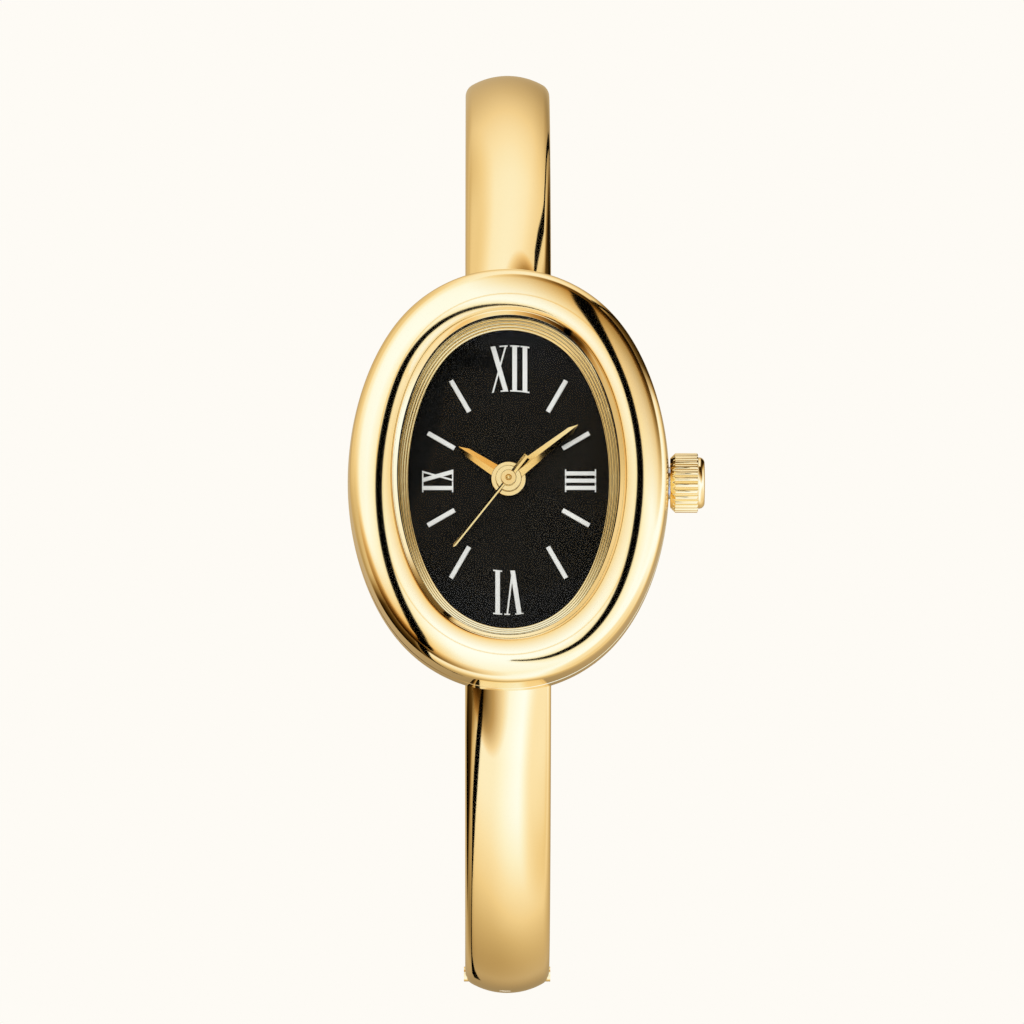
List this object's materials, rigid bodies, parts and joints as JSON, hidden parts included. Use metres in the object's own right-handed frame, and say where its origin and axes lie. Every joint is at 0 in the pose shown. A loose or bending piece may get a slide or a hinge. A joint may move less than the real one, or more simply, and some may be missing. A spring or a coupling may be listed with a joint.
{
  "type": "oval bangle wristwatch",
  "caption": "Small oval wristwatch on a rigid polished gold bangle, with a black dial, three hands, a fluted crown and a hinged rear half that opens at a side-button clasp.",
  "frame": {"origin": "centre of the bangle's opening, on the axis of the wrist (mount wrist)", "axes": "+X to 3 o'clock and the crown, +Z to 12 o'clock, the dial faces -Y"},
  "size_m": [0.0211, 0.051, 0.0554],
  "materials": {
    "polished_gold": "mirror-polished yellow gold plate",
    "dial_black": "black satin lacquer with a fine grain",
    "silver_trim": "bright silver-coloured trim",
    "glass": "clear flat glass",
    "rubber": "black rubber",
    "nylon": "white plastic",
    "board_green": "green circuit board",
    "steel": "fine-grained steel",
    "movement_brass": "plain turned brass",
    "copper": "enamelled copper wire",
    "magnet": "dark sintered magnet"
  },
  "bodies": {
    "case": {"case_middle": "polished_gold", "bezel": "polished_gold", "crystal": "glass", "crystal_gasket": "rubber", "flange_ring": "polished_gold", "dial": "dial_black", "hour_markers": "silver_trim", "movement_holder": "nylon", "main_plate": "movement_brass", "train_bridge": "movement_brass", "bridge_screws": "steel", "circuit_board": "board_green", "quartz_can": "steel", "battery": "steel", "battery_clip": "steel", "coil_core": "steel", "coil_winding": "copper", "stator": "steel", "caseback": "polished_gold", "caseback_gasket": "rubber", "case_tube": "steel", "arm_screws": "steel", "upper_arm": "polished_gold", "lower_arm": "polished_gold", "hinge_pin": "polished_gold"},
    "seconds": {"seconds_wheel": "movement_brass", "seconds_hand": "polished_gold"},
    "minutes": {"centre_wheel": "movement_brass", "minute_hand": "polished_gold"},
    "hours": {"hour_wheel": "movement_brass", "hour_hand": "polished_gold"},
    "third_arbor": {"third_wheel": "movement_brass"},
    "intermediate_arbor": {"intermediate_wheel": "movement_brass"},
    "rotor_arbor": {"rotor": "magnet"},
    "motion_arbor": {"minute_wheel": "movement_brass"},
    "stem_sleeve": {"sliding_pinion": "steel"},
    "crown_group": {"crown": "polished_gold", "crown_stem": "steel", "crown_gasket": "rubber"},
    "lever": {"setting_lever": "steel"},
    "rear_half": {"rear_arm": "polished_gold", "clasp_tongue": "polished_gold", "clasp_spring_right": "steel", "clasp_spring_left": "steel"},
    "button_right": {"clasp_button_right": "polished_gold"},
    "button_left": {"clasp_button_left": "polished_gold"}
  },
  "joints": [
    {"name": "seconds_turn", "type": "hinge", "parent": "case", "child": "seconds", "pos_m": [0, -0.02095, 0], "axis": [0, 1, 0], "continuous": true},
    {"name": "minutes_turn", "type": "hinge", "parent": "case", "child": "minutes", "pos_m": [0, -0.02095, 0], "axis": [0, 1, 0], "continuous": true},
    {"name": "hours_turn", "type": "hinge", "parent": "case", "child": "hours", "pos_m": [0, -0.02095, 0], "axis": [0, 1, 0], "continuous": true},
    {"name": "third_turn", "type": "hinge", "parent": "case", "child": "third_arbor", "pos_m": [-0.00148, -0.02095, 0.00148], "axis": [0, 1, 0], "continuous": true},
    {"name": "intermediate_turn", "type": "hinge", "parent": "case", "child": "intermediate_arbor", "pos_m": [0.00144, -0.02095, 0.0016], "axis": [0, 1, 0], "continuous": true},
    {"name": "rotor_turn", "type": "hinge", "parent": "case", "child": "rotor_arbor", "pos_m": [0.0019, -0.02095, 0.00332], "axis": [0, 1, 0], "continuous": true},
    {"name": "motion_turn", "type": "hinge", "parent": "case", "child": "motion_arbor", "pos_m": [-0.0015, -0.02095, -0.00055], "axis": [0, 1, 0], "continuous": true},
    {"name": "crown_turn", "type": "hinge", "parent": "case", "child": "stem_sleeve", "pos_m": [0.00245, -0.0219, 0], "axis": [1, 0, 0], "continuous": true},
    {"name": "crown_pull", "type": "slide", "parent": "stem_sleeve", "child": "crown_group", "axis": [1, 0, 0], "range_m": [0, 0.0009]},
    {"name": "lever_turn", "type": "hinge", "parent": "case", "child": "lever", "pos_m": [0.0042, -0.0211, -0.0017], "axis": [0, 1, 0], "range_deg": [0, 29.7]},
    {"name": "bangle_open", "type": "hinge", "parent": "case", "child": "rear_half", "pos_m": [0, 0.00311, 0.02641], "axis": [1, 0, 0], "range_deg": [0, 52]},
    {"name": "button_right_press", "type": "slide", "parent": "rear_half", "child": "button_right", "axis": [-1, 0, 0], "range_m": [0, 0.00034], "stiffness_N_per_m": 300, "deforming": ["clasp_spring_right"]},
    {"name": "button_left_press", "type": "slide", "parent": "rear_half", "child": "button_left", "axis": [1, 0, 0], "range_m": [0, 0.00034], "stiffness_N_per_m": 300, "deforming": ["clasp_spring_left"]}
  ],
  "couplings": [
    {"joint": "minutes_turn", "follows": "seconds_turn", "ratio": 0.016667},
    {"joint": "hours_turn", "follows": "seconds_turn", "ratio": 0.0013889},
    {"joint": "third_turn", "follows": "seconds_turn", "ratio": -0.125},
    {"joint": "intermediate_turn", "follows": "seconds_turn", "ratio": -5},
    {"joint": "rotor_turn", "follows": "seconds_turn", "ratio": 30},
    {"joint": "motion_turn", "follows": "seconds_turn", "ratio": -0.0055556},
    {"joint": "lever_turn", "follows": "crown_pull", "rad_per_m": 575.05}
  ]
}
